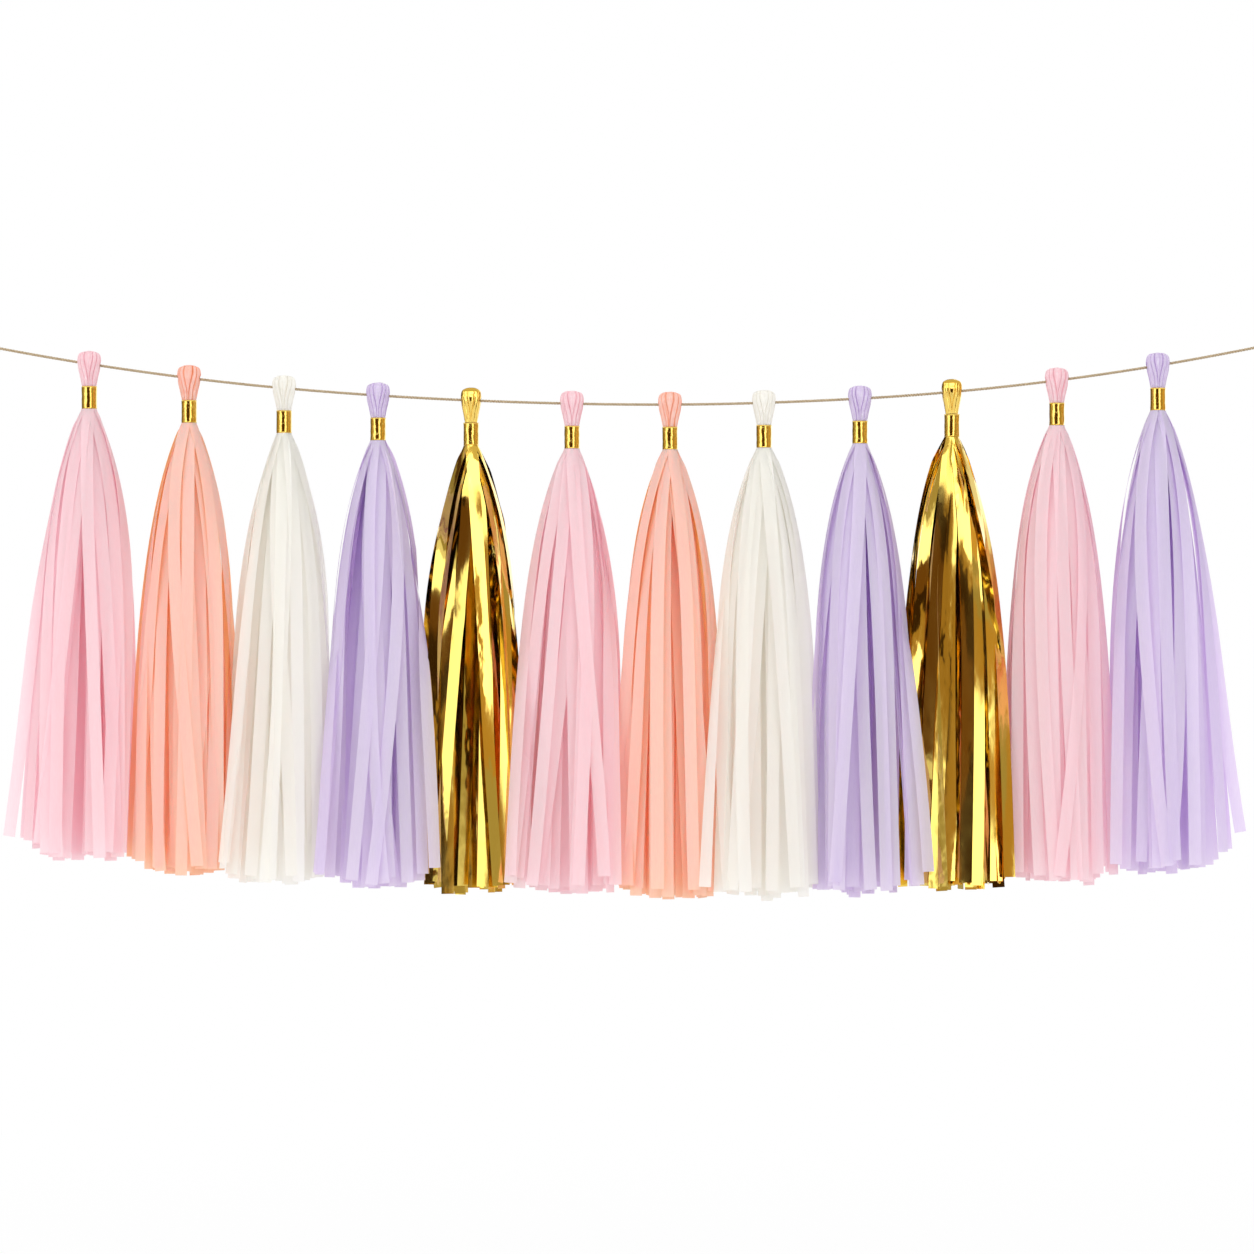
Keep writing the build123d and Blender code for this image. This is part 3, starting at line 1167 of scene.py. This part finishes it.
# Azimuth of each card's middle and its half width in degrees, its paint and its light
cards = (
    (-27, 10, brown, 0.16),
    (-8, 9, brown, 0.04),
    (7, 6, orange, 0.40),
    (46, 10, orange, 0.50),
    (65, 9, khaki, 0.42),
    (88, 13, orange, 0.75),
    (113, 11, orange, 0.50),
    (-86, 12, khaki, 0.42),
    (-110, 12, khaki, 0.34),
    (-135, 13, brown, 0.08),
    (-168, 14, brown, 0.20),
    (178, 6, brown, 0.03),
)
# Name, azimuth in degrees, distance, height above the garland, width, height and power of each lamp
lamps = (
    ("key", -52, 2.7, 1.1, 1.5, 3.0, 16),
    ("fill", 25, 2.7, 1.0, 1.1, 2.8, 12),
    ("front", -6, 2.3, 1.9, 1.8, 1.2, 13),
    ("rear", 150, 2.6, 0.9, 1.4, 2.2, 6),
)


def seen_directly(tree):
    """1 for rays that show the background: from the camera, off a mirror or through glass."""
    rays = add_node(tree, "LightPath").outputs
    seen = joined(tree, "ADD", rays["Is Camera Ray"], rays["Is Glossy Ray"], clamp=True)
    return joined(tree, "ADD", seen, rays["Is Transmission Ray"], clamp=True)


def light_world():
    """A pale, level background that looks white."""
    world = bpy.data.worlds.new("studio")
    world.use_nodes = True
    scene.world = world
    tree = world.node_tree
    background = tree.nodes["Background"]
    background.inputs["Color"].default_value = (1, 1, 1, 1)
    level = spread(tree, seen_directly(tree), world_light, 1.0, span=(0, 1))
    tree.links.new(level, background.inputs["Strength"])


def square(half, height):
    """The corners of a level square."""
    return [(-half, -half, height), (half, -half, height), (half, half, height), (-half, half, height)]


def lay_floor():
    """A floor that is a little darker under the garland and fades into the background."""
    material, tree = new_material("floor_paint")
    paint = add_node(tree, "BsdfDiffuse", {"Color": floor_paint})
    glow = add_node(tree, "Emission")
    place = add_node(tree, "TexCoord").outputs["Object"]
    away = add_node(tree, "VectorMath", {0: place}, operation="LENGTH").outputs["Value"]
    fade = spread(tree, away, floor_glow, 1.0, span=floor_fade, kind="SMOOTHSTEP")
    share = joined(tree, "MULTIPLY", fade, seen_directly(tree))
    show(tree, mixed(tree, share, paint, glow))
    floor = make_piece("floor", square(floor_half, 0), [(0, 1, 2, 3)], material)
    floor.location = (camera_place[0], 0, floor_height)


def stand_card(name, points, faces, paint, light):
    """A card of evenly lit cloth round the garland, where mirrors alone see it."""
    cloth, tree = new_material(name)
    show(tree, add_node(tree, "Emission", {"Color": paint, "Strength": light}))
    card = make_piece(name, points, faces, cloth)
    card.location = (camera_place[0], 0, camera_place[2])
    card.visible_camera = False
    card.visible_diffuse = False
    card.visible_transmission = False
    card.visible_shadow = False
    card.visible_volume_scatter = False


def stand_cards():
    """The upright cards in their arcs, and one overhead."""
    for number, (azimuth, half_width, paint, light) in enumerate(cards):
        points = []
        for step in range(card_steps + 1):
            angle = math.radians(azimuth - half_width + 2 * half_width * step / card_steps)
            x, y = card_distance * math.sin(angle), -card_distance * math.cos(angle)
            points += [(x, y, -card_half_height), (x, y, card_half_height)]
        stand_card(f"card_{number}", points, grid_faces(card_steps + 1, 2), paint, light)
    stand_card("ceiling_card", square(card_distance, ceiling_height), [(0, 1, 2, 3)], khaki, ceiling_light)


def hang_lamps():
    """Wide lamps round the garland, all turned to its middle."""
    aim = np.array([camera_place[0], 0, camera_place[2]])
    for name, azimuth, away, above, wide, tall, power in lamps:
        data = bpy.data.lights.new(name, "AREA")
        data.shape = "RECTANGLE"
        data.size = wide
        data.size_y = tall
        data.energy = power
        lamp = bpy.data.objects.new(name, data)
        angle = math.radians(azimuth)
        place = aim + np.array([away * math.sin(angle), -away * math.cos(angle), above])
        lamp.location = place
        lamp.rotation_euler = Vector(aim - place).to_track_quat("-Z", "Y").to_euler()
        scene.collection.objects.link(lamp)


make_twine()
make_tassels()
light_world()
lay_floor()
stand_cards()
hang_lamps()
